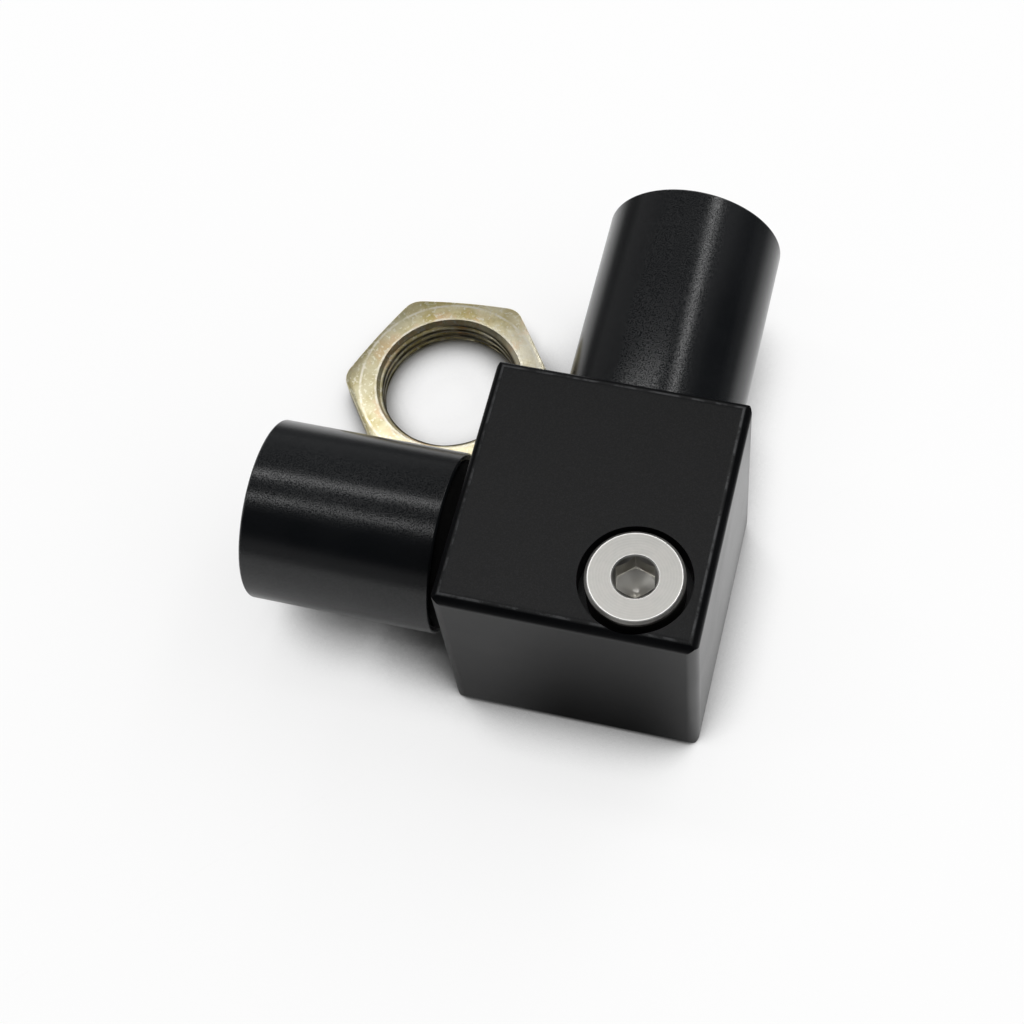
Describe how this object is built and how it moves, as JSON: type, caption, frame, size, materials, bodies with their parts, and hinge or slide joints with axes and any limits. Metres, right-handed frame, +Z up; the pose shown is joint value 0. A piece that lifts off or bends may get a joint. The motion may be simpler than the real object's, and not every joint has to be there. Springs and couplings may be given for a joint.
{
  "type": "right angle coupler",
  "caption": "Square block that joins two round socket arms at a right angle, locked by a recessed cap screw, with a thin hexagon lock nut beside it.",
  "frame": {"origin": "on the block's underside, directly below the point where the two arms' axes cross", "axes": "+Z up from the underside to the screw's head, +Y out along the straight arm, -X out along the side arm"},
  "size_m": [0.0645, 0.0712, 0.0355],
  "materials": {
    "block": "black anodised, fine satin grain",
    "arm": "black anodised, turned and blasted",
    "washer": "matt black",
    "screw": "turned bright steel",
    "nut": "yellow passivated zinc plate"
  },
  "bodies": {
    "root": {"block": "block", "side_arm": "arm", "straight_arm": "arm", "spacer_washer": "washer", "lock_screw": "screw", "lock_nut": "nut"}
  },
  "joints": []
}
